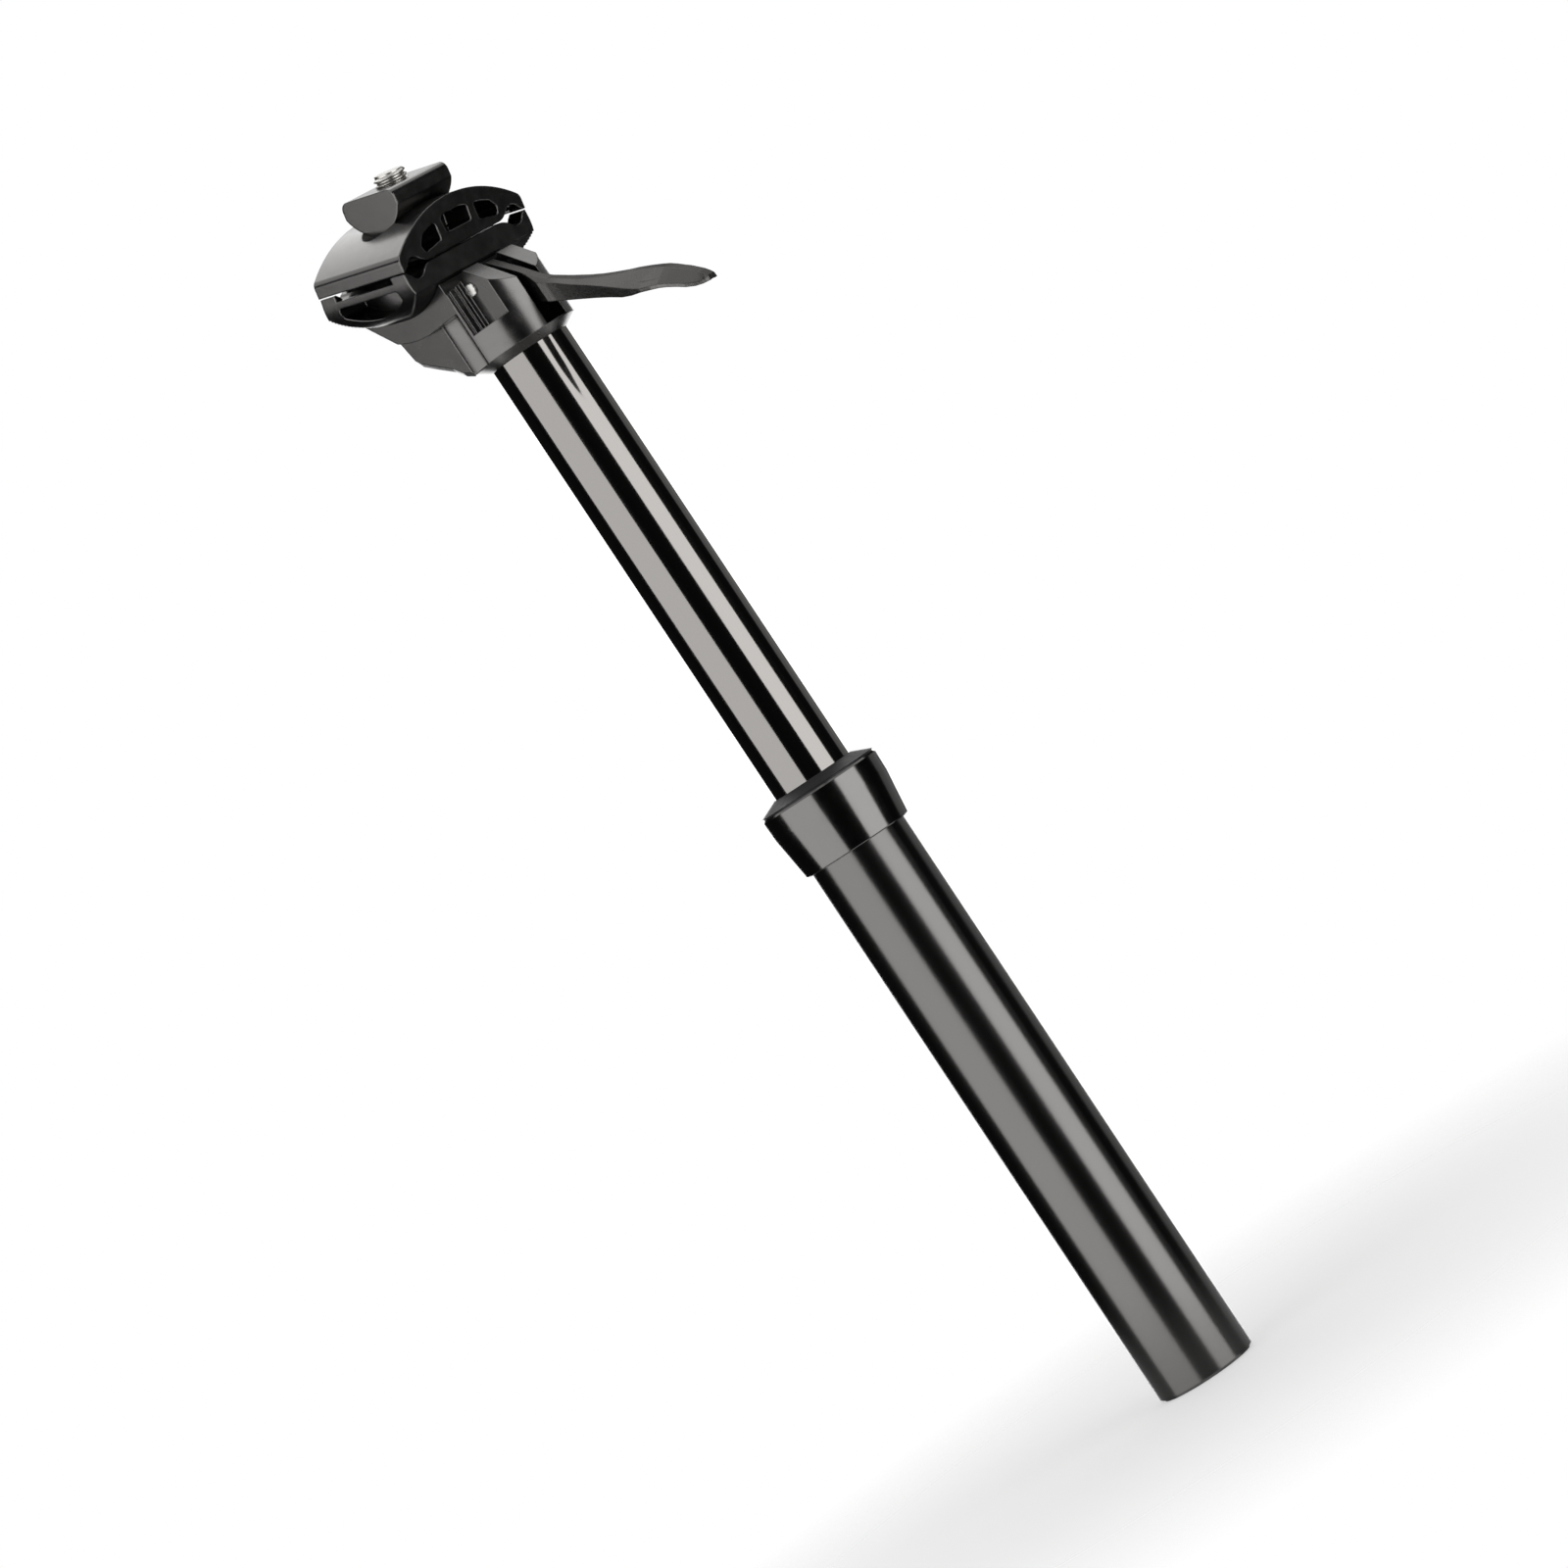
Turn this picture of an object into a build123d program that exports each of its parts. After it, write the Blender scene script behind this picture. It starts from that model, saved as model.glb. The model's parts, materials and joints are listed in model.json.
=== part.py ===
"""Dropper seatpost with a lever under its saddle clamp, as separate pieces.

Millimetres. The origin is on the tube's axis at the collar's lower face.
+Z runs up the tube, +X forward to the lever, +Y to the rider's left.
"""
import os
from math import asin, cos, radians, sin, sqrt, tan

from build123d import *

# Driving sizes of the lower post
barrel_d = 30.9
barrel_bore = 27.0
barrel_below = 178.4
barrel_neck = 12.0
end_chamfer = 0.8
collar_d_low = 34.5
collar_d_mid = 37.7
collar_d_top = 38.1
collar_break = 13.3
collar_height = 20.1
wiper_d_low = 37.0
wiper_d_top = 25.6
wiper_top = 23.15

# Driving sizes of the sliding post
travel = 125.0
stanchion_d = 24.8
stanchion_bore = 20.8
stanchion_foot = -45.0
head_base = 166.9

# Driving sizes of the gas spring
spring_d = 17.0
spring_bore = 14.4
spring_top = -10.0
rod_d = 10.0
rod_bore = 5.0

# Driving sizes of the head
head_d = 33.1
cone_top = head_base + 2.5
ear_plane = head_base + 34.3
ear_relief = 3.3
slot_half = 4.3
slot_floor = head_base + 2.7
flat_half = 11.08
flat_floor = head_base + 11.2
pivot_x = 4.93
pivot_z = head_base + 22.3
pin_d = 4.0
pin_half = 11.75
block_half = 12.0
cavity_half = 8.6
plate_thick = 6.6
web_half = 1.6
crown_half = 1.5
hub_r = 3.2
lever_wall = 1.5
finger_low = 3.0

# Driving sizes of the saddle clamp, which is tilted nose down
clamp_tilt = 14.9
clamp_x = -14.62
clamp_z = head_base + 40.16
clamp_length = 35.6
clamp_width = 54.6
tooth_radius = 26.0
tooth_depth = 0.45
tooth_count = 43
cradle_depth = 14.1
arc_height = tooth_radius - cradle_depth
parting_gap = 0.4
end_flare = 0.4
corner_round = 12.0
rail_d = 7.0
rail_spacing = 44.0
rail_closed = 0.45
dome_radius = 43.5
dome_height = 14.0

# Driving sizes of the clamp's bolt and nut
bolt_d = 10.0
bolt_root_d = 8.4
bolt_top = 25.3
bolt_head_d = 16.0
bolt_head_high = 6.5
nut_half = 12.0
nut_radius = 12.0
nut_top = 22.0
tilt_reach = 7.0

# Clearances between pieces
running = 0.05
seat_gap = 0.1
free_gap = 0.3
side_gap = 0.2
touch_gap = 0.02


def ring(outer_r, inner_r, low, high):
    """A plain tube between two heights."""
    tube = Pos(0, 0, low) * extrude(Circle(outer_r) - Circle(inner_r), high - low)
    return tube


def rod(r, low, high):
    """A plain round bar between two heights."""
    return Pos(0, 0, low) * extrude(Circle(r), high - low)


def turned(points):
    """A solid of revolution about Z from (radius, height) points."""
    outline = Polyline(*[(r, 0, z) for r, z in points], close=True)
    return revolve(make_face(outline), Axis.Z)


def side_plate(points, half_width, offset=0.0):
    """A plate between two sides in Y, from its (x, z) outline."""
    outline = make_face(Polyline(*[(x, 0, z) for x, z in points], close=True))
    plate = extrude(outline, amount=half_width, dir=(0, 1, 0), both=True)
    return Pos(0, offset, 0) * plate


def block(x_range, y_range, z_range):
    """A box from its three ranges."""
    (x0, x1), (y0, y1), (z0, z1) = x_range, y_range, z_range
    box = Box(x1 - x0, y1 - y0, z1 - z0)
    return Pos((x0 + x1) / 2, (y0 + y1) / 2, (z0 + z1) / 2) * box


def cross_bar(r, half_width, x, z):
    """A round bar along Y."""
    return Pos(x, 0, z) * Rot(90, 0, 0) * Cylinder(r, 2 * half_width)


def clamp_place(piece):
    """Moves a clamp piece from its own level frame to its place on the head."""
    return Pos(clamp_x, 0, clamp_z) * Rot(0, clamp_tilt, 0) * piece


def key_angles():
    """The three directions of the anti-rotation keys."""
    return [90, 210, 330]


def make_barrel():
    """Lower tube with its bored inside and three long key grooves."""
    r = barrel_d / 2
    neck_r = r - 0.45
    bore_r = barrel_bore / 2
    low = -barrel_below
    tube = turned([
        (bore_r, low), (r - end_chamfer, low), (r, low + end_chamfer),
        (r, 0), (neck_r, 0), (neck_r, barrel_neck), (bore_r, barrel_neck)])
    groove_low = stanchion_foot - travel - 4
    for angle in key_angles():
        groove = block((bore_r - 1, bore_r + 0.9), (-1.3, 1.3), (groove_low, barrel_neck + 1))
        tube -= Rot(0, 0, angle) * groove
    return tube


def plug_top():
    return -barrel_below + 8.0


def make_end_plug():
    """Plug in the barrel's lower end that holds the gas spring."""
    r = barrel_bore / 2
    low = -barrel_below + 1.0
    plug = ring(r, 3.1, low, plug_top())
    plug -= rod(6.5, low - 1, low + 3.0)
    for angle in (0, 90, 180, 270):
        plug -= Rot(0, 0, angle) * (Pos(9.9, 0, low) * Cylinder(1.2, 4))
    return plug


def make_cylinder_bolt():
    """Socket bolt from below into the gas spring's foot."""
    low = -barrel_below + 1.0
    bolt = rod(5.0, low + 0.2, low + 3.0)
    bolt += rod(3.0, low + 2.9, plug_top() + 6.0)
    socket = Pos(0, 0, low) * extrude(RegularPolygon(2.9, 6), 2.4)
    return bolt - socket


def make_collar():
    """Tapered screw collar at the top of the barrel."""
    neck_r = barrel_d / 2 - 0.45
    seat_r = wiper_d_low / 2
    inner_r = stanchion_d / 2 + 1.1
    return turned([
        (neck_r, 0.0), (collar_d_low / 2 - 0.3, 0.0), (collar_d_low / 2, 0.3),
        (collar_d_mid / 2, collar_break), (collar_d_mid / 2 + 0.02, collar_break + 0.3),
        (collar_d_top / 2, collar_height - 0.6), (collar_d_top / 2 - 0.6, collar_height),
        (seat_r - 0.4, collar_height), (seat_r - 0.4, collar_height - 2.4),
        (inner_r + 1.2, collar_height - 2.4), (inner_r + 1.2, collar_height - 3.4),
        (inner_r, collar_height - 3.4), (inner_r, barrel_neck + 0.1), (neck_r, barrel_neck + 0.1)])


def make_wiper():
    """Rubber wiper cap with a lip on the stanchion."""
    r = stanchion_d / 2
    seat_r = wiper_d_low / 2
    inner_r = r + 1.1
    return turned([
        (inner_r, collar_height - 2.4), (seat_r - 0.4, collar_height - 2.4),
        (seat_r - 0.4, collar_height + 0.35), (seat_r, collar_height + 0.55),
        (wiper_d_top / 2, wiper_top), (r + running, wiper_top),
        (r + running, wiper_top - 1.4), (inner_r, wiper_top - 2.4)])


def make_upper_bushing():
    """Plastic guide in the barrel's mouth that the stanchion runs through."""
    r = stanchion_d / 2
    low = -16.0
    return ring(barrel_bore / 2, r + running, low, barrel_neck)


def make_top_out_bumper():
    """Soft ring that the lower guide meets at full height."""
    low = -16.0
    return ring(barrel_bore / 2, stanchion_d / 2 + free_gap, low - 5.0, low)


def make_bumper_spacer():
    """Tube between the bumper and the height where the lower guide stops."""
    low = stanchion_foot + 14.0 + 0.2
    return ring(barrel_bore / 2 - 0.05, stanchion_d / 2 + free_gap, low, -21.0)


def make_spring_cylinder():
    """Gas spring's tube, standing on the end plug."""
    r = spring_d / 2
    bore_r = spring_bore / 2
    low = plug_top()
    return turned([
        (3.0, low), (r, low), (r, spring_top - 1.0), (bore_r, spring_top - 1.0),
        (bore_r, low + 7.0), (3.0, low + 7.0)])


def make_spring_cap():
    """Seal head at the top of the gas spring's tube."""
    rod_r = rod_d / 2
    return turned([
        (rod_r + running, spring_top - 9.0), (spring_bore / 2, spring_top - 9.0),
        (spring_bore / 2, spring_top - 1.0), (spring_d / 2, spring_top - 1.0),
        (spring_d / 2, spring_top), (rod_r + running, spring_top)])


def stanchion_top():
    return head_base + 1.5


def make_stanchion():
    """Polished sliding tube with pockets for the keys at its foot."""
    r = stanchion_d / 2
    bore_r = stanchion_bore / 2
    top = stanchion_top()
    tube = turned([
        (bore_r, stanchion_foot), (r - 0.5, stanchion_foot), (r, stanchion_foot + 0.5),
        (r, top), (bore_r, top)])
    for angle in key_angles():
        pocket = block((r - 0.8, r + 1), (-1.25, 1.25), (stanchion_foot + 2, stanchion_foot + 12))
        tube -= Rot(0, 0, angle) * pocket
    return tube


def make_lower_guide():
    """Split guide sleeve around the stanchion's foot."""
    r = stanchion_d / 2
    sleeve = ring(barrel_bore / 2 - running, r, stanchion_foot + 0.6, stanchion_foot + 14.0)
    for angle in key_angles():
        window = block((r - 1, r + 3), (-1.25, 1.25), (stanchion_foot + 2, stanchion_foot + 12))
        sleeve -= Rot(0, 0, angle) * window
    return sleeve


def make_keys():
    """Three brass keys that stop the stanchion turning in the barrel."""
    r = stanchion_d / 2
    reach = barrel_bore / 2 + 0.82
    keys = []
    for angle in key_angles():
        key = block((r - 0.8, reach), (-1.2, 1.2), (stanchion_foot + 2, stanchion_foot + 12))
        keys.append(Rot(0, 0, angle) * key)
    return Compound(keys)


def spigot_low():
    return head_base - 18.0


def rod_top():
    return slot_floor - 3.0


def make_rod():
    """Hollow gas spring rod, screwed up into the head."""
    piston_low = piston_z()
    return ring(rod_d / 2, rod_bore / 2, piston_low, rod_top())


def piston_z():
    return spring_top - 22.0


def make_piston():
    """Piston on the rod's lower end with a groove for its seal."""
    r = spring_bore / 2 - running
    low = piston_z() - 6.0
    piston = turned([
        (0, low), (r, low), (r, low + 3.6), (r - 1.5, low + 3.6),
        (r - 1.5, low + 6.0), (r, low + 6.0), (r, low + 7.5),
        (rod_d / 2, low + 7.5), (rod_d / 2, low + 6.0), (0, low + 6.0)])
    return piston


def make_piston_seal():
    """Square seal ring in the piston's groove."""
    r = spring_bore / 2 - running
    low = piston_z() - 6.0
    return ring(r, r - 1.5, low + 3.6, low + 6.0)


def make_lock_nut():
    """Hexagon nut that locks the rod under the head's spigot."""
    top = spigot_low()
    nut = Pos(0, 0, top - 6.0) * extrude(RegularPolygon(9.2, 6), 6.0)
    nut -= rod(rod_d / 2, top - 7.0, top + 1.0)
    return nut


def arc_centre():
    """Centre of the toothed arc in part axes, which is the tilt axis."""
    tilt = radians(clamp_tilt)
    return clamp_x + arc_height * sin(tilt), clamp_z + arc_height * cos(tilt)


def seat_r():
    return tooth_radius + seat_gap


def make_seat_plate():
    """Curved plate that the cradle sits in, cut away at its rear end."""
    cx, cz = arc_centre()
    half = head_d / 2
    outer_r = seat_r() + plate_thick
    plate = cross_bar(outer_r, half, cx, cz)
    plate = plate & block((cx - 22.0, cx + 30), (-half, half), (cz - 50, cz - 8))
    plate += block((cx, 0.5), (-half, half), (cz - outer_r, cz - 8))
    rear_cut = side_plate([
        (cx - 14.6, cz - outer_r + 3.3), (cx - 22.0, cz - outer_r + 12.9), (cx - 40, cz - outer_r + 22.7),
        (cx - 40, cz - outer_r - 7.3), (cx - 14.6, cz - outer_r - 7.3)], half + 1)
    return plate - rear_cut


def make_rear_block():
    """Two-walled rear block under the seat plate, bevelled along its edge."""
    cx, cz = arc_centre()
    top = cz - sqrt((seat_r() + 3.0) ** 2 - 19.0 ** 2)
    outline = [
        (0, cone_top), (-13.4, cone_top), (-16.2, cone_top + 1.4), (-18.9, cone_top + 4.2),
        (-24.5, cone_top + 8.0), (-28.8, cone_top + 11.1), (-30.3, cone_top + 13.3),
        (-33.0, top), (0, top)]
    body = side_plate(outline, block_half)
    bevel = []
    for edge in body.edges():
        middle = edge.center()
        on_side = abs(abs(middle.Y) - block_half) < 0.01
        if on_side and middle.X < -13 and middle.Z < top - 0.5:
            bevel.append(edge)
    return chamfer(bevel, 1.6)


def make_scallops():
    """Upright hollows between the front cylinder and the rear block."""
    low, high = cone_top, cone_top + 40
    centre_y = head_d / 2 + 0.7
    hollow = Pos(-7.2, centre_y, low) * extrude(Circle(7.2), high - low)
    return hollow + mirror(hollow, Plane.XZ)


def make_bolt_cavity():
    """Space under the plate for the clamp bolt's head and its swing."""
    cx, cz = arc_centre()
    outline = [
        (-8.3, cz), (-8.3, cone_top + 6.0), (-15.0, cone_top + 0.6),
        (-50, cone_top - 20), (-60, cz)]
    space = side_plate(outline, cavity_half)
    return space - cross_bar(seat_r() + plate_thick, cavity_half + 1, cx, cz)


def make_ear_pocket():
    """Stepped flat on one side of the ears, seen from above and cut down."""
    out = head_d / 2 + 2
    flat = flat_half
    outline = Polyline(
        (out, -out), (out, -flat), (3.1, -flat), (2.3, -flat - 0.9), (2.3, -flat - 2.2),
        (1.65, -flat - 2.2), (1.65, -flat - 4.3), (0.95, -flat - 4.3), (0.95, -out), close=True)
    return Pos(0, 0, flat_floor) * extrude(make_face(outline), 40)


def make_bolt_slot():
    """Long hole through the plate that lets the bolt swing with the clamp."""
    half_width = bolt_d / 2 + 0.4
    reach = (seat_r() + plate_thick) * tan(radians(tilt_reach)) + 0.3
    low, high = -30.0, -8.0
    slot = block((-reach, reach), (-half_width, half_width), (low, high))
    for s in (-reach, reach):
        slot += Pos(s, 0, 0) * rod(half_width, low, high)
    return clamp_place(slot)


def make_lever_room():
    """Slot between the ears for the lever, with room behind it for its finger."""
    over_finger = pivot_z + 4.3
    width = (-slot_half, slot_half)
    room = block((2.0, 40), width, (slot_floor, ear_plane + 40))
    room += block((1.2, 3.0), width, (over_finger, ear_plane + 40))
    return room + block((-4.5, 3.0), width, (pivot_z - 4.8, over_finger + 0.1))


def make_head():
    """Forged head: cone, ears, seat plate, rear block and spigot."""
    cx, cz = arc_centre()
    r = head_d / 2
    body = rod(r, cone_top, ear_plane) + make_rear_block()
    body -= make_scallops()
    body += make_seat_plate()
    body += rod(rod_d, cone_top, cone_top + 12)
    body += turned([(0, head_base), (stanchion_d / 2 + 0.15, head_base), (r, cone_top), (0, cone_top)])
    body -= cross_bar(seat_r(), 40, cx, cz)
    body -= side_plate([(0, ear_plane), (60, ear_plane - 60), (60, ear_plane + 40), (0, ear_plane + 40)], 40)
    body -= block((-80, 0.5), (-40, 40), (cz - 12, cz + 30))
    body -= cross_bar(seat_r() + ear_relief, 40, cx, cz) & block((0.6, 40), (-40, 40), (cz - 40, cz))
    for side in (0, 1):
        pocket = make_ear_pocket()
        body -= mirror(pocket, Plane.XZ) if side else pocket
    body -= make_lever_room()
    body -= make_bolt_cavity()
    body -= make_bolt_slot()
    body -= rod(stanchion_d / 2, head_base - 1, stanchion_top())
    body += rod(stanchion_bore / 2, spigot_low(), stanchion_top() + 0.1)
    body -= rod(rod_d / 2, spigot_low() - 1, rod_top())
    body -= rod(1.6, rod_top() - 1, pivot_z)
    body -= cross_bar(pin_d / 2, 40, pivot_x, pivot_z)
    return body


def make_pivot_pin():
    """Steel cross pin of the lever, with its ends a little proud."""
    pin = cross_bar(pin_d / 2, pin_half, pivot_x, pivot_z)
    ends = pin.edges().filter_by(GeomType.CIRCLE)
    return chamfer(ends, 0.25)


def valve_pin_top():
    return pivot_z - finger_low - touch_gap


def make_valve_pin():
    """Pin down the rod's middle that opens the gas spring's valve."""
    r = 1.5
    top = valve_pin_top()
    low = piston_z() + 14.0
    pin = rod(r, low, top - r)
    return pin + Pos(0, 0, top - r) * Sphere(r)


def lever_sections():
    """Cross-sections: x, crown, half width, edge, foot and hollow, with heights from the pivot pin."""
    return [
        (15.0, -3.1, 1.6, -3.2, -12.9, -12.8),
        (16.2, -4.2, 1.75, -4.6, -13.5, -13.4),
        (17.4, -5.35, 2.05, -6.2, -14.1, -14.0),
        (18.4, -6.25, 2.5, -7.5, -14.5, -14.4),
        (19.4, -7.1, 3.0, -8.6, -14.9, -14.8),
        (22.5, -9.3, 3.05, -10.3, -16.2, -15.2),
        (26.0, -11.2, 3.35, -12.0, -17.7, -14.7),
        (32.0, -14.6, 4.15, -15.3, -20.1, -17.2),
        (38.0, -17.2, 5.1, -18.3, -22.5, -19.8),
        (43.0, -19.15, 5.95, -20.95, -24.6, -22.0),
        (48.0, -21.0, 6.8, -23.7, -26.9, -24.2),
        (52.0, -22.3, 7.45, -25.9, -28.15, -25.6),
        (56.0, -23.8, 8.0, -27.8, -29.0, -26.6),
        (60.0, -25.45, 8.1, -29.0, -30.2, -28.0),
        (62.5, -26.6, 7.85, -29.85, -31.05, -29.0),
        (64.5, -27.8, 7.1, -30.9, -32.1, -30.2),
        (66.5, -29.15, 6.05, -32.3, -33.5, -31.6),
        (68.5, -30.55, 5.05, -33.85, -35.05, -33.0),
        (70.5, -32.0, 3.75, -35.1, -36.25, -34.3),
        (72.3, -33.45, 2.5, -35.9, -36.9, -35.6),
        (73.5, -34.7, 1.75, -36.1, -37.1, -36.6),
        (74.3, -35.7, 1.6, -36.3, -37.2, -37.1)]


def lever_section(x, crown, half, edge, foot, hollow):
    """One closed cross-section: flat crown, sloping flanks, upright sides, hollow below."""
    top_half = min(crown_half, 0.93 * half)
    wall = min(lever_wall, 0.3 * half)
    right = [(top_half, crown), (half, edge), (half, foot), (half - wall, foot), (half - 1.4 * wall, hollow)]
    left = [(-y, z) for y, z in reversed(right)]
    points = [(x, y, pivot_z + z) for y, z in right + left]
    return make_face(Polyline(*points, close=True))


def make_lever():
    """Cast lever: paddle, web, hub between the ears and the finger on the valve pin."""
    lever = loft([lever_section(*values) for values in lever_sections()], ruled=True)
    first = lever_sections()[0]
    lever += side_plate([
        (6.1, pivot_z + 4.7), (first[0], pivot_z + first[1]), (first[0], pivot_z + first[4]),
        (11.6, pivot_z - 11.4), (6.4, pivot_z - 3.6), (-2.4, pivot_z - finger_low),
        (-2.4, pivot_z - 0.6), (1.6, pivot_z + 1.6),
        (2.9, pivot_z + 4.0), (4.4, pivot_z + 4.9)], web_half)
    lever += cross_bar(hub_r, slot_half - side_gap, pivot_x, pivot_z)
    lever -= block((-6, 3.0), (-5, 5), (pivot_z - 6, pivot_z - finger_low))
    lever -= cross_bar(pin_d / 2 + running, 10, pivot_x, pivot_z)
    return lever


def toothed_outline():
    """Side outline of the cradle in clamp axes: flared end faces and a toothed arc."""
    half = clamp_length / 2
    top = -parting_gap / 2
    reach = asin((half + end_flare) / tooth_radius)
    points = [(end_flare - half, top)]
    steps = 2 * tooth_count
    for i in range(steps + 1):
        angle = reach * (2 * i / steps - 1)
        r = tooth_radius - (tooth_depth if i % 2 else 0.0)
        points.append((r * sin(angle), arc_height - r * cos(angle)))
    points.append((half - end_flare, top))
    return points


def front_plate(face, length):
    """Extrudes a front outline, given in Y and height, along the rails."""
    return extrude(face, amount=length / 2, dir=(1, 0, 0), both=True)


def cradle_front_face():
    """Front outline of the cradle with its rounded lower corners."""
    half = clamp_width / 2
    deep = arc_height - tooth_radius - 0.4
    outline = Polyline((0, -half, 1), (0, half, 1), (0, half, deep), (0, -half, deep), close=True)
    face = make_face(outline)
    low_corners = [v for v in face.vertices() if v.Z < deep + 0.1]
    return fillet(low_corners, min(corner_round, 0.9 * (1 - deep)))


def groove_mouth(y, side, sign):
    """Front outline of a rail groove's mouth, rounded inward and chamfered outward."""
    inner = y - side * 6.4
    outer = y + side * 4.4
    edges = [
        Line((0, inner, -sign * 0.4), (0, inner, sign * 0.2)),
        ThreePointArc((0, inner, sign * 0.2), (0, y - side * 4.6, sign * 0.62), (0, y - side * 3.1, sign * 1.5)),
        Line((0, y - side * 3.1, sign * 1.5), (0, y + side * 3.3, sign * 1.1)),
        Line((0, y + side * 3.3, sign * 1.1), (0, outer, sign * 0.2)),
        Line((0, outer, sign * 0.2), (0, outer, -sign * 0.4)),
        Line((0, outer, -sign * 0.4), (0, inner, -sign * 0.4))]
    return make_face(edges)


def rail_grooves(centre_height, sign):
    """The two rail grooves with their flared mouths."""
    length = clamp_length + 4
    cut = None
    for side in (-1, 1):
        y = side * rail_spacing / 2
        groove = Pos(0, y, centre_height) * Rot(0, 90, 0) * Cylinder(rail_d / 2, length)
        groove += front_plate(groove_mouth(y, side, sign), length)
        cut = groove if cut is None else cut + groove
    return cut


def cradle_side_pocket():
    """Rounded pocket in one side of the cradle."""
    reach = 12.2
    disc = Pos(0, 0, arc_height) * Rot(90, 0, 0) * Cylinder(tooth_radius - 3.4, 11.3)
    box = Box(2 * reach, 11.3, 12)
    shape = disc & (Pos(0, 0, -4.2 - 6) * box)
    corners = []
    for edge in shape.edges().filter_by(Axis.Y):
        corners.append(edge)
    shape = fillet(corners, 1.0)
    return Pos(0, -clamp_width / 2 - 0.5 + 11.3 / 2, 0) * shape


def make_cradle():
    """Toothed lower half of the saddle clamp."""
    half = clamp_width / 2
    body = side_plate(toothed_outline(), half + 2)
    body = body & front_plate(cradle_front_face(), clamp_length + 6)
    body -= rail_grooves(rail_closed, -1)
    pocket = cradle_side_pocket()
    body -= pocket
    body -= mirror(pocket, Plane.XZ)
    for side in (-1, 1):
        lip = Box(23.6, 3.4, 4.0)
        body -= Pos(0, side * (half + 1.7 - 2.9), -2.05 + 2.0) * lip
    body -= rod(bolt_d / 2 + 0.4, -20, 5)
    return clamp_place(body)


def dome_face():
    """Front outline of the upper clamp: a low dome over a flat parting face."""
    half = clamp_width / 2
    low = parting_gap / 2
    side_top = dome_height - dome_radius + sqrt(dome_radius ** 2 - half ** 2)
    left, right = (0, -half, side_top), (0, half, side_top)
    edges = [
        Line((0, -half, low), left),
        ThreePointArc(left, (0, 0, dome_height), right),
        Line(right, (0, half, low)),
        Line((0, half, low), (0, -half, low))]
    face = make_face(edges)
    shoulders = [v for v in face.vertices() if v.Z > low + 0.5]
    return fillet(shoulders, 2.4)


def clamp_end_pockets():
    """Three tapered pockets in the upper clamp's front face."""
    depth = 9.0
    end = clamp_length / 2
    pockets = []
    outlines = [
        [(-5.4, 4.5), (5.4, 4.5), (5.9, 9.0), (2.8, 9.75), (-2.8, 9.75), (-5.9, 9.0)],
        [(8.5, 3.5), (16.0, 2.2), (17.0, 4.6), (15.0, 7.1), (11.8, 8.1), (8.5, 8.8)],
        [(-8.5, 3.5), (-8.5, 8.8), (-11.8, 8.1), (-15.0, 7.1), (-17.0, 4.6), (-16.0, 2.2)]]
    for outline in outlines:
        face = make_face(Polyline(*[(end + 0.01, y, h) for y, h in outline], close=True))
        face = fillet(face.vertices(), 1.0)
        pockets.append(extrude(face, amount=depth, dir=(-1, 0, 0), taper=4))
    return pockets


def make_upper_clamp():
    """Domed upper half of the saddle clamp."""
    body = front_plate(dome_face(), clamp_length)
    body -= rail_grooves(-rail_closed, 1)
    for pocket in clamp_end_pockets():
        body -= pocket
        body -= mirror(pocket, Plane.YZ)
    groove = cross_bar(nut_radius + touch_gap, 40, 0, nut_axis())
    body -= groove
    body -= rod(bolt_d / 2 + 0.4, -5, 30)
    return clamp_place(body)


def nut_axis():
    return nut_top + 0.4


def make_nut_bar():
    """Half-round cross nut with a flat top, tapped for the clamp bolt."""
    bar = cross_bar(nut_radius, nut_half, 0, nut_axis())
    bar = bar & block((-10.8, 10.8), (-nut_half, nut_half), (0, nut_top))
    corners = []
    for edge in bar.edges().filter_by(Axis.Y):
        if edge.center().Z > nut_top - 0.1:
            corners.append(edge)
    bar = fillet(corners, 2.6)
    bar -= rod(bolt_d / 2 + running, 0, 40)
    return clamp_place(bar)


def washer_low():
    return arc_height - (seat_r() + plate_thick) - 3.2


def make_bolt_washer():
    """Washer whose top is curved to slide on the plate's underside."""
    cap = block((-7.5, 7.5), (-8.2, 8.2), (washer_low(), washer_low() + 6))
    curve = cross_bar(seat_r() + plate_thick + running, 20, 0, arc_height)
    cap = cap - curve
    cap -= rod(bolt_d / 2 + 0.3, -40, 0)
    return clamp_place(cap)


def make_clamp_bolt():
    """Socket bolt up through the head, cradle, upper clamp and nut.

    Above the nut its free end has only the core of the thread.
    """
    low = washer_low()
    r = bolt_d / 2
    bolt = rod(r, low, nut_top)
    bolt += rod(bolt_root_d / 2, nut_top - 1, bolt_top)
    bolt += rod(bolt_head_d / 2, low - bolt_head_high, low)
    bolt -= Pos(0, 0, low - bolt_head_high) * extrude(RegularPolygon(4.6, 6), 5.0)
    return clamp_place(bolt)


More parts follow.
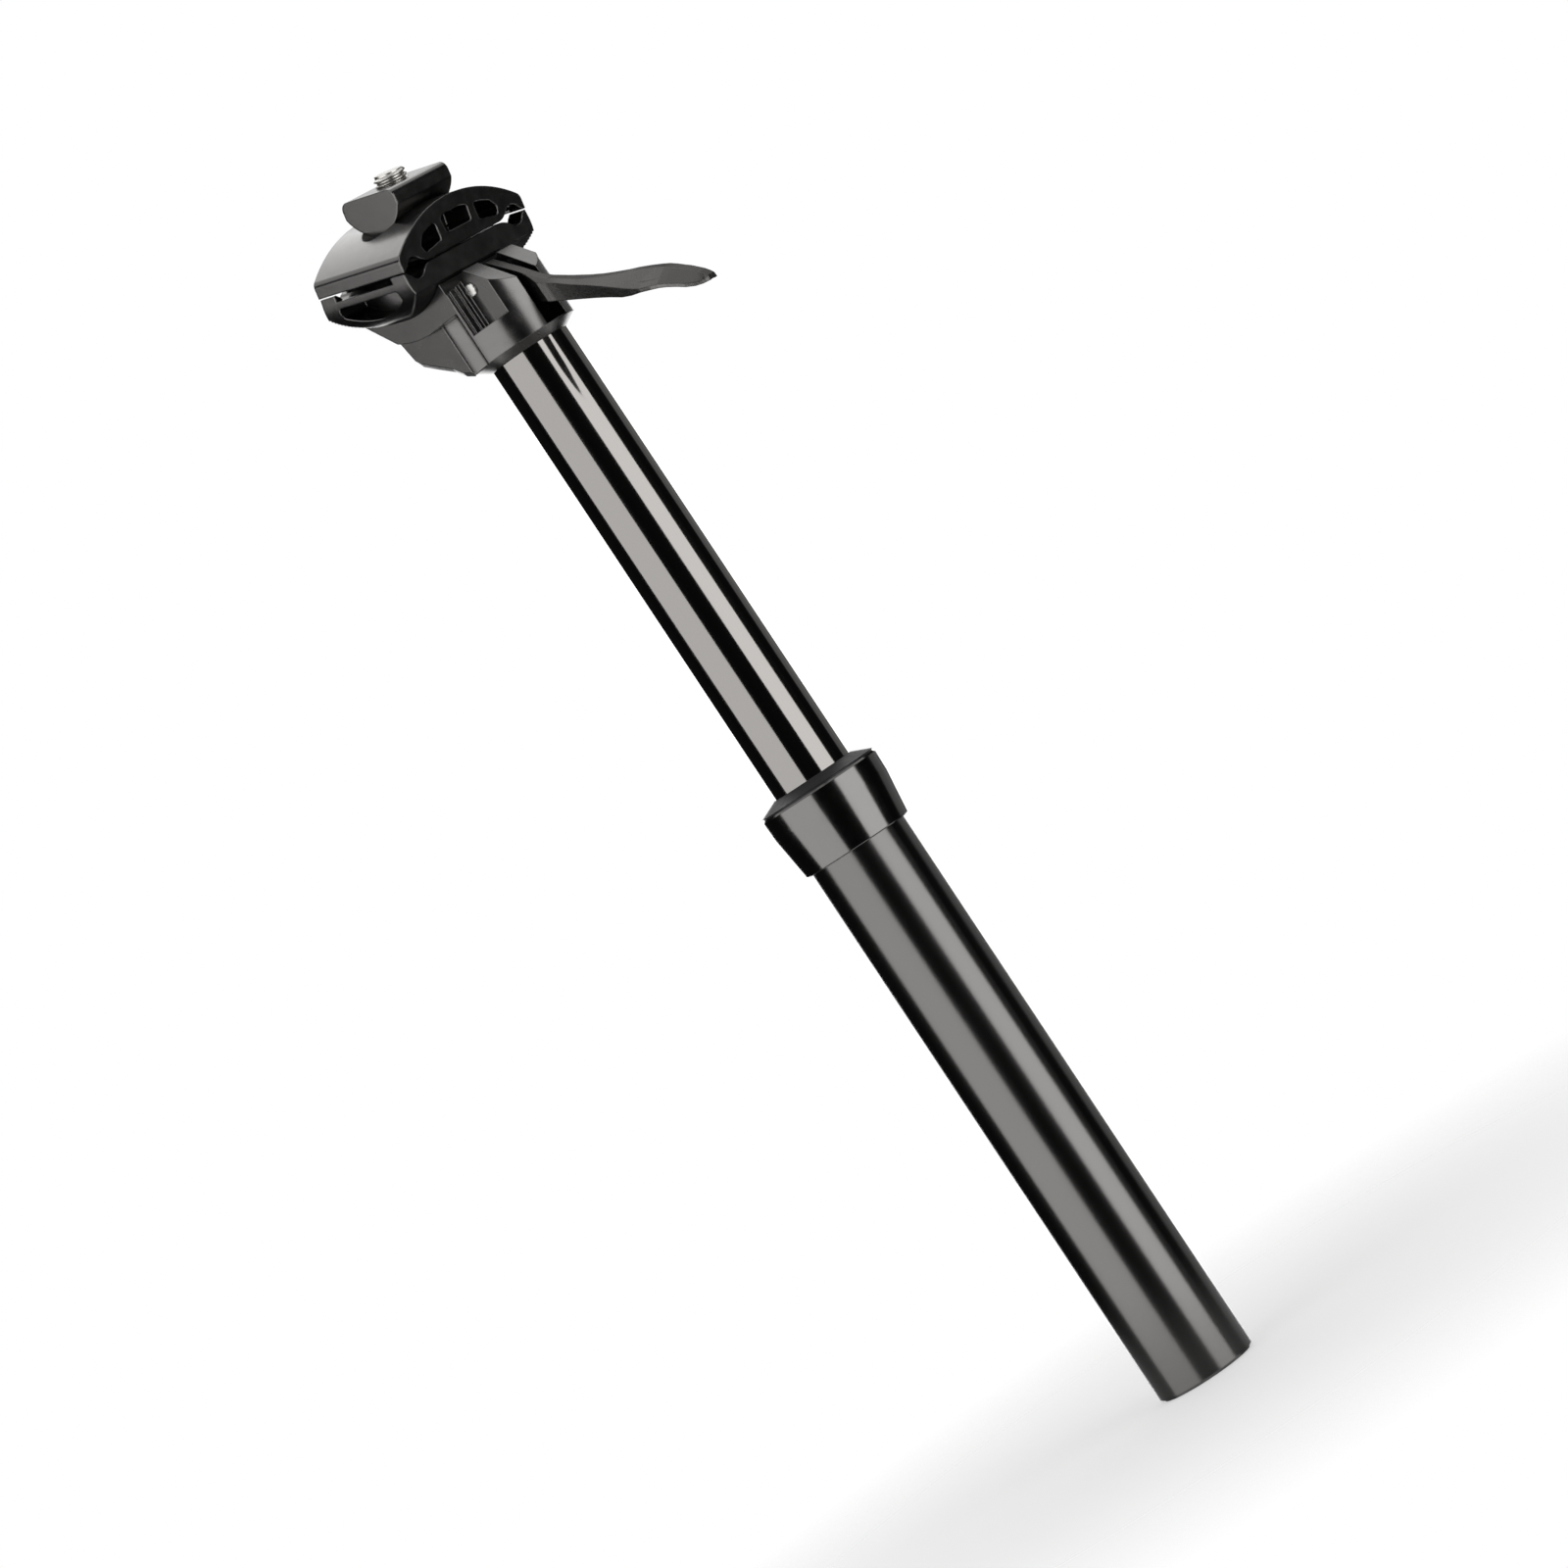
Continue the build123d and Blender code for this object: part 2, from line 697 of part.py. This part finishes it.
def build_all():
    """Every piece under its node name."""
    return {
        "barrel": make_barrel(),
        "barrel_end_plug": make_end_plug(),
        "cylinder_bolt": make_cylinder_bolt(),
        "collar": make_collar(),
        "wiper_seal": make_wiper(),
        "upper_bushing": make_upper_bushing(),
        "top_out_bumper": make_top_out_bumper(),
        "bumper_spacer": make_bumper_spacer(),
        "gas_spring_cylinder": make_spring_cylinder(),
        "gas_spring_end_cap": make_spring_cap(),
        "stanchion": make_stanchion(),
        "lower_guide": make_lower_guide(),
        "anti_rotation_keys": make_keys(),
        "head": make_head(),
        "gas_spring_rod": make_rod(),
        "gas_spring_piston": make_piston(),
        "piston_seal": make_piston_seal(),
        "rod_lock_nut": make_lock_nut(),
        "lever_pivot_pin": make_pivot_pin(),
        "lever": make_lever(),
        "valve_pin": make_valve_pin(),
        "lower_cradle": make_cradle(),
        "bolt_washer": make_bolt_washer(),
        "clamp_bolt": make_clamp_bolt(),
        "upper_clamp": make_upper_clamp(),
        "clamp_nut_bar": make_nut_bar()}


os.makedirs("parts", exist_ok=True)
for name, piece in build_all().items():
    export_step(piece, f"parts/{name}.step")
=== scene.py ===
import json
from math import cos, pi, radians, sin, tan

import bmesh
import bpy
from mathutils import Matrix, Vector


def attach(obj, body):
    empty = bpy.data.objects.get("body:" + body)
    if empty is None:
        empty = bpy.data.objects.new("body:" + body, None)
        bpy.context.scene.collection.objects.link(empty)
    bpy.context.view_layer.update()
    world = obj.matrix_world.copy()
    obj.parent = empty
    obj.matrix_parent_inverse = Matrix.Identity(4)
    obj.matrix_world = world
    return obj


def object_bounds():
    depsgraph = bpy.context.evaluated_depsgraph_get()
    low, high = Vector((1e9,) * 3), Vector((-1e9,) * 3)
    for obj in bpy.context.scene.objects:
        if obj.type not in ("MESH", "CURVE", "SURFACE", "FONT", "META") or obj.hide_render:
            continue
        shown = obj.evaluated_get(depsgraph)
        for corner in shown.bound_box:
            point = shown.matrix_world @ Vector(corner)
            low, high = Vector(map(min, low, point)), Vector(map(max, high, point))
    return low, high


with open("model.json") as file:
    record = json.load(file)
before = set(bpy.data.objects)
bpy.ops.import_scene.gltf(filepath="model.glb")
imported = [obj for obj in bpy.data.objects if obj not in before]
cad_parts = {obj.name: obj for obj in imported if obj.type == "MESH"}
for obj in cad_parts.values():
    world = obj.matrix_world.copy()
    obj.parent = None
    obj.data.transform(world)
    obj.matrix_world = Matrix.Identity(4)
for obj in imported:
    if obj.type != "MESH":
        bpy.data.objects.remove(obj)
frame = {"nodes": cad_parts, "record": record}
nodes = frame["nodes"]
cad_low, cad_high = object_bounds()


# Materials
# Each slot of the record gets one material of nodes, named for what the real surface is.
# The clamp bolt has one of its own. Lengths are in metres, taken from Object coordinates.
# The black metals reflect only the share that their black anodising or paint lets back.
def colour(text):
    """A linear colour from its sRGB hex text."""
    parts = [int(text[i:i + 2], 16) / 255 for i in (0, 2, 4)]
    linear = [p / 12.92 if p <= 0.04045 else ((p + 0.055) / 1.055) ** 2.4 for p in parts]
    return (*linear, 1.0)


def add(tree, kind, settings=None, links=None):
    """Adds a node, sets its properties or sockets, and links sockets to other nodes' outputs."""
    node = tree.nodes.new(kind)
    for name, value in (settings or {}).items():
        if name in node.inputs:
            node.inputs[name].default_value = value
        else:
            setattr(node, name, value)
    for name, source in (links or {}).items():
        tree.links.new(source, node.inputs[name])
    return node


def surface(name, comment, **values):
    """A material with a Principled shader, its Object coordinates and a note on the real surface."""
    material = bpy.data.materials.new(name)
    material.use_nodes = True
    material["real_surface"] = comment
    tree = material.node_tree
    shader = tree.nodes["Principled BSDF"]
    for socket, value in values.items():
        shader.inputs[socket.replace("_", " ")].default_value = value
    where = add(tree, "ShaderNodeTexCoord").outputs["Object"]
    return material, tree, shader, where


def grain(tree, where, size, stretch=(1, 1, 1)):
    """Noise with grains of about that size, drawn out along an axis by stretch."""
    scaled = add(tree, "ShaderNodeMapping", {"Scale": stretch}, {"Vector": where})
    noise = add(tree, "ShaderNodeTexNoise", {"Scale": 1 / size, "Detail": 3.0, "Roughness": 0.55},
                {"Vector": scaled.outputs["Vector"]})
    return noise.outputs["Fac"]


def vary(tree, value, low, high):
    """Maps noise from its usual range to low..high."""
    mapped = add(tree, "ShaderNodeMapRange", {"From Min": 0.3, "From Max": 0.7, "To Min": low, "To Max": high},
                 {"Value": value})
    return mapped.outputs["Result"]


def relief(tree, shader, height, depth, edge=0.0):
    """Bumps a shader by that many metres, over edges broken to a radius of edge metres."""
    bump = add(tree, "ShaderNodeBump", {"Distance": depth}, {"Height": height})
    if edge:
        rounded = add(tree, "ShaderNodeBevel", {"samples": 6, "Radius": edge})
        tree.links.new(rounded.outputs["Normal"], bump.inputs["Normal"])
    tree.links.new(bump.outputs["Normal"], shader.inputs["Normal"])


finishes = {}

# Barrel: satin black anodised aluminium over a fine drawn and blasted tube.
material, tree, shader, where = surface(
    "satin_black_anodised_tube", "anodised aluminium tube, blasted to a satin",
    Base_Color=colour("5A5958"), Metallic=1.0)
fine = grain(tree, where, 0.0004)
tree.links.new(vary(tree, grain(tree, where, 0.006, (1, 1, 0.15)), 0.17, 0.21), shader.inputs["Roughness"])
relief(tree, shader, fine, 0.00001)
finishes["barrel_black"] = material

# Stanchion: hard anodised tube polished lengthways, almost a mirror.
material, tree, shader, where = surface(
    "polished_black_anodised_tube", "hard anodised and polished sliding tube",
    Base_Color=colour("747270"), Metallic=1.0)
drawn = grain(tree, where, 0.0012, (1, 1, 0.02))
tree.links.new(vary(tree, drawn, 0.07, 0.11), shader.inputs["Roughness"])
relief(tree, shader, drawn, 0.000004)
finishes["stanchion_black"] = material

# Collar: turned aluminium, semi-gloss black, with very fine turning rings.
material, tree, shader, where = surface(
    "turned_black_anodised_collar", "turned aluminium collar with fine tool rings",
    Base_Color=colour("5F5E5D"), Metallic=1.0)
rings = add(tree, "ShaderNodeTexWave", {
    "wave_type": "BANDS", "bands_direction": "Z", "Scale": 1200.0, "Distortion": 0.6, "Detail": 1.0},
    {"Vector": where}).outputs["Fac"]
tree.links.new(vary(tree, grain(tree, where, 0.003), 0.12, 0.16), shader.inputs["Roughness"])
relief(tree, shader, rings, 0.000002, 0.0002)
finishes["collar_black"] = material

# Head: forged and machined aluminium with a semi-gloss black skin.
material, tree, shader, where = surface(
    "forged_black_head", "forged head, machined and anodised semi-gloss black",
    Base_Color=colour("5C5B5A"), Metallic=1.0)
tree.links.new(vary(tree, grain(tree, where, 0.004), 0.22, 0.28), shader.inputs["Roughness"])
relief(tree, shader, grain(tree, where, 0.0005), 0.000004, 0.0004)
finishes["head_black"] = material

# Clamp halves and nut: forged aluminium, blasted and anodised to a dull satin.
material, tree, shader, where = surface(
    "satin_black_forged_clamp", "forged clamp pieces, blasted and anodised",
    Base_Color=colour("656463"), Metallic=1.0)
tree.links.new(vary(tree, grain(tree, where, 0.003), 0.21, 0.26), shader.inputs["Roughness"])
relief(tree, shader, grain(tree, where, 0.00035), 0.000005, 0.0006)
finishes["clamp_black"] = material

# Lever: casting with a fine grainy skin under black paint.
material, tree, shader, where = surface(
    "grainy_black_casting", "cast lever with a fine grainy skin",
    Base_Color=colour("585756"), Metallic=1.0, Specular_Tint=colour("A6A6A6"))
skin = grain(tree, where, 0.00045)
tree.links.new(vary(tree, skin, 0.24, 0.38), shader.inputs["Roughness"])
relief(tree, shader, skin, 0.00004, 0.0005)
finishes["lever_black"] = material

# Seals and the bumper: smooth black rubber.
material, tree, shader, where = surface(
    "black_seal_rubber", "moulded nitrile rubber", Base_Color=colour("1C1C1D"), Specular_IOR_Level=0.4)
tree.links.new(vary(tree, grain(tree, where, 0.0015), 0.42, 0.55), shader.inputs["Roughness"])
relief(tree, shader, grain(tree, where, 0.0003), 0.00001)
finishes["seal_rubber"] = material

# Guides and spacer: natural acetal, slightly see-through off-white.
material, tree, shader, where = surface(
    "natural_acetal", "moulded acetal guide", Base_Color=colour("D9D5CB"), Specular_IOR_Level=0.45)
tree.links.new(vary(tree, grain(tree, where, 0.002), 0.32, 0.42), shader.inputs["Roughness"])
finishes["guide_plastic"] = material

# Plug, cylinder, cap and piston: turned aluminium left bare.
material, tree, shader, where = surface(
    "bare_turned_aluminium", "turned aluminium with tool rings", Base_Color=colour("C9CACC"), Metallic=1.0)
rings = add(tree, "ShaderNodeTexWave", {
    "wave_type": "BANDS", "bands_direction": "Z", "Scale": 900.0, "Distortion": 0.4},
    {"Vector": where}).outputs["Fac"]
tree.links.new(vary(tree, grain(tree, where, 0.002), 0.26, 0.36), shader.inputs["Roughness"])
relief(tree, shader, rings, 0.000004)
finishes["plain_aluminium"] = material

# Pivot pin and valve pin: bright stainless steel.
material, tree, shader, where = surface(
    "bright_stainless", "rolled and ground stainless steel", Base_Color=colour("E2E1DE"), Metallic=1.0)
tree.links.new(vary(tree, grain(tree, where, 0.0015), 0.2, 0.28), shader.inputs["Roughness"])
relief(tree, shader, grain(tree, where, 0.0006), 0.000002, 0.0001)
finishes["stainless"] = material

# Clamp bolt: stainless steel too, duller because its thread is rolled and greased.
material, tree, shader, where = surface(
    "rolled_stainless_thread", "stainless bolt with a rolled thread",
    Base_Color=colour("B4B2AE"), Metallic=1.0)
tree.links.new(vary(tree, grain(tree, where, 0.0015), 0.3, 0.4), shader.inputs["Roughness"])
relief(tree, shader, grain(tree, where, 0.0006), 0.000002, 0.0001)
finishes["clamp_bolt"] = material

# Washer, lock nut and cylinder bolt: oiled black oxide steel.
material, tree, shader, where = surface(
    "black_oxide_steel", "oiled black oxide steel", Base_Color=colour("3A3A3B"), Metallic=0.9)
tree.links.new(vary(tree, grain(tree, where, 0.001), 0.34, 0.46), shader.inputs["Roughness"])
finishes["black_steel"] = material

# Gas spring rod: ground hard chrome.
material, tree, shader, where = surface(
    "ground_hard_chrome", "ground hard chromed rod", Base_Color=colour("E0E0E2"), Metallic=1.0)
tree.links.new(vary(tree, grain(tree, where, 0.001, (1, 1, 0.1)), 0.05, 0.09), shader.inputs["Roughness"])
finishes["rod_chrome"] = material

# Anti-rotation keys: sawn and tumbled brass.
material, tree, shader, where = surface(
    "tumbled_brass", "brass keys, tumbled", Base_Color=colour("C9A15C"), Metallic=1.0)
tree.links.new(vary(tree, grain(tree, where, 0.0008), 0.25, 0.38), shader.inputs["Roughness"])
finishes["key_brass"] = material

for part in frame["record"]["subparts"]:
    node = nodes[part["node"]]
    for place in node.material_slots:
        place.material = finishes.get(part["node"]) or finishes[part["material_slot"]]


# Clamp bolt's thread
# The stainless bolt stands out of the cross nut with about two turns of M10 thread showing.
# The ridge is rolled, so it has a narrow flat crest, and it dies out in the bolt's chamfered end.
clamp_tilt = radians(14.9)
clamp_place = Matrix.Translation((-0.01462, 0, 0.20706)) @ Matrix.Rotation(clamp_tilt, 4, "Y")
pitch = 0.0015
core_r, crest_r = 0.00415, 0.0049
half_foot, half_crest = 0.00065, 0.00012
thread_low, thread_high = 0.0221, 0.0253
end_chamfer = 0.0008
turns = 4
turn_steps = 40
profile = [(core_r, -half_foot), (crest_r, -half_crest), (crest_r, half_crest), (core_r, half_foot)]

bm = bmesh.new()
line = [bm.verts.new((r, 0, thread_low - 1.5 * pitch + z)) for r, z in profile]
edges = [bm.edges.new((a, b)) for a, b in zip(line, line[1:])]
bmesh.ops.spin(
    bm, geom=line + edges, cent=(0, 0, 0), axis=(0, 0, 1), dvec=(0, 0, pitch / turn_steps),
    angle=2 * pi * turns, steps=turn_steps * turns)
for height, out in ((thread_low, -1), (thread_high, 1)):
    everything = bm.verts[:] + bm.edges[:] + bm.faces[:]
    bmesh.ops.bisect_plane(
        bm, geom=everything, dist=1e-7, plane_co=(0, 0, height), plane_no=(0, 0, out), clear_outer=True)
for v in bm.verts:
    reach = crest_r - max(0.0, v.co.z - (thread_high - end_chamfer))
    r = v.co.xy.length
    if r > reach:
        v.co.xy *= reach / r
bmesh.ops.recalc_face_normals(bm, faces=bm.faces)
bm.transform(clamp_place)
mesh = bpy.data.meshes.new("clamp_bolt_thread")
bm.to_mesh(mesh)
bm.free()
thread = bpy.data.objects.new("clamp_bolt_thread", mesh)
bpy.context.collection.objects.link(thread)
thread.data.materials.append(finishes["clamp_bolt"])
mesh.shade_smooth()
mesh.set_sharp_from_angle(angle=radians(30))
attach(thread, "clamp_screw")


# Camera
# It stands level with the post, 45 degrees round to the rider's right, turned so the tube leans.
right = Vector((0.59216, 0.58701, -0.55205))
up = Vector((0.38200, 0.39872, 0.83373))
back = right.cross(up).normalized()
camera_data = bpy.data.cameras.new("camera")
camera_data.lens = 139.5
camera_data.clip_start = 0.05
camera = bpy.data.objects.new("camera", camera_data)
bpy.context.collection.objects.link(camera)
turn = Matrix((right, up, back)).transposed().to_4x4()
camera.matrix_world = Matrix.Translation((1.20814, -1.21077, 0.04611)) @ turn
bpy.context.scene.camera = camera


# Studio
# Angles are round the post from the camera's side, positive to the photograph's right.
# Tall softboxes at left and right give the tubes their two light bands.
# A dim one lights the far side, one behind edges the tubes, and one above lights the clamp.
def around(angle, distance, height):
    """A point at that angle round the post from the camera's side."""
    towards = Vector((0.7096, -0.7046, 0))
    across = Vector((0.7046, 0.7096, 0))
    spot = cos(radians(angle)) * towards + sin(radians(angle)) * across
    return distance * spot + Vector((0, 0, height))


def softbox(name, place, aim, width, height, radiance):
    """A square area lamp that the camera doesn't see, facing its aim."""
    data = bpy.data.lights.new(name, "AREA")
    data.shape = "RECTANGLE"
    data.size = width
    data.size_y = height
    data.energy = radiance * pi * width * height
    lamp = bpy.data.objects.new(name, data)
    bpy.context.collection.objects.link(lamp)
    lamp.location = place
    lamp.rotation_euler = (place - aim).to_track_quat("Z", "Y").to_euler()
    lamp.visible_camera = False


def upright_softbox(name, first, last, distance, low, high, radiance):
    """A softbox standing upright that covers those angles and heights."""
    width = 2 * distance * tan(radians(last - first) / 2)
    height = (low + high) / 2
    place = around((first + last) / 2, distance, height)
    softbox(name, place, Vector((0, 0, height)), width, high - low, radiance)


box_distance = 2.2
box_low, box_high = -0.95, 1.0
back_box_high = 0.45
clamp_middle = Vector((0, 0, 0.2))
upright_softbox("left_softbox", -89, -19.5, box_distance, box_low, box_high, 2.3)
upright_softbox("right_softbox", 28, 72, box_distance, box_low, box_high, 3.2)
upright_softbox("back_softbox", 158, 202, box_distance, box_low, back_box_high, 2.2)
upright_softbox("far_softbox", 116, 150, box_distance, box_low, box_high, 0.3)
softbox("top_softbox", around(178, 0.75, 1.05), clamp_middle, 1.1, 0.8, 1.25)


def stage_object(name, bm, material):
    """Makes a stage mesh, which isn't part of the object."""
    mesh = bpy.data.meshes.new(name)
    bm.to_mesh(mesh)
    bm.free()
    piece = bpy.data.objects.new(name, mesh)
    bpy.context.collection.objects.link(piece)
    mesh.materials.append(material)
    return piece


# Dark cards stand round all but the back, so that the tubes reflect dark between the softboxes.
bm = bmesh.new()
card_distance = 3.4
card_edge = [bm.verts.new(around(-172, card_distance, z)) for z in (-3.5, 2.6)]
side = bm.edges.new(card_edge)
bmesh.ops.spin(bm, geom=card_edge + [side], cent=(0, 0, 0), axis=(0, 0, 1), angle=radians(344), steps=43)
material, tree, shader, where = surface(
    "black_card", "black card", Base_Color=colour("323232"), Roughness=1.0, Specular_IOR_Level=0.0)
cards = stage_object("dark_cards", bm, material)
cards.visible_camera = False

# The floor is a pale round table that fades out, so that no horizon crosses the picture.
bm = bmesh.new()
floor_gap = 0.0002
bmesh.ops.create_circle(bm, cap_ends=True, radius=0.35, segments=96)
bmesh.ops.translate(bm, verts=bm.verts, vec=(0, 0, cad_low.z - floor_gap))
material, tree, shader, where = surface(
    "pale_floor", "pale matt board", Base_Color=colour("F6F6F6"), Roughness=0.9, Specular_IOR_Level=0.1)
away = add(tree, "ShaderNodeVectorMath", {"operation": "LENGTH"}, {"Vector": where}).outputs["Value"]
fade = add(tree, "ShaderNodeMapRange", {"From Min": 0.03, "From Max": 0.32, "To Min": 1.0, "To Max": 0.0},
           {"Value": away})
tree.links.new(fade.outputs["Result"], shader.inputs["Alpha"])
stage_object("floor", bm, material)

# The world is white to the camera, to reflections and through glass, and a soft fill otherwise.
world = bpy.data.worlds.new("white_studio")
bpy.context.scene.world = world
world.use_nodes = True
tree = world.node_tree
ray = add(tree, "ShaderNodeLightPath").outputs
seen = add(tree, "ShaderNodeMath", {"operation": "MAXIMUM"})
tree.links.new(ray["Is Camera Ray"], seen.inputs[0])
tree.links.new(ray["Is Glossy Ray"], seen.inputs[1])
shown = add(tree, "ShaderNodeMath", {"operation": "MAXIMUM"})
tree.links.new(seen.outputs["Value"], shown.inputs[0])
tree.links.new(ray["Is Transmission Ray"], shown.inputs[1])
strength = add(tree, "ShaderNodeMapRange", {"To Min": 0.5, "To Max": 1.0}, {"Value": shown.outputs["Value"]})
background = tree.nodes["Background"]
background.inputs["Color"].default_value = (1, 1, 1, 1)
tree.links.new(strength.outputs["Result"], background.inputs["Strength"])

bpy.context.scene.view_settings.view_transform = "Standard"
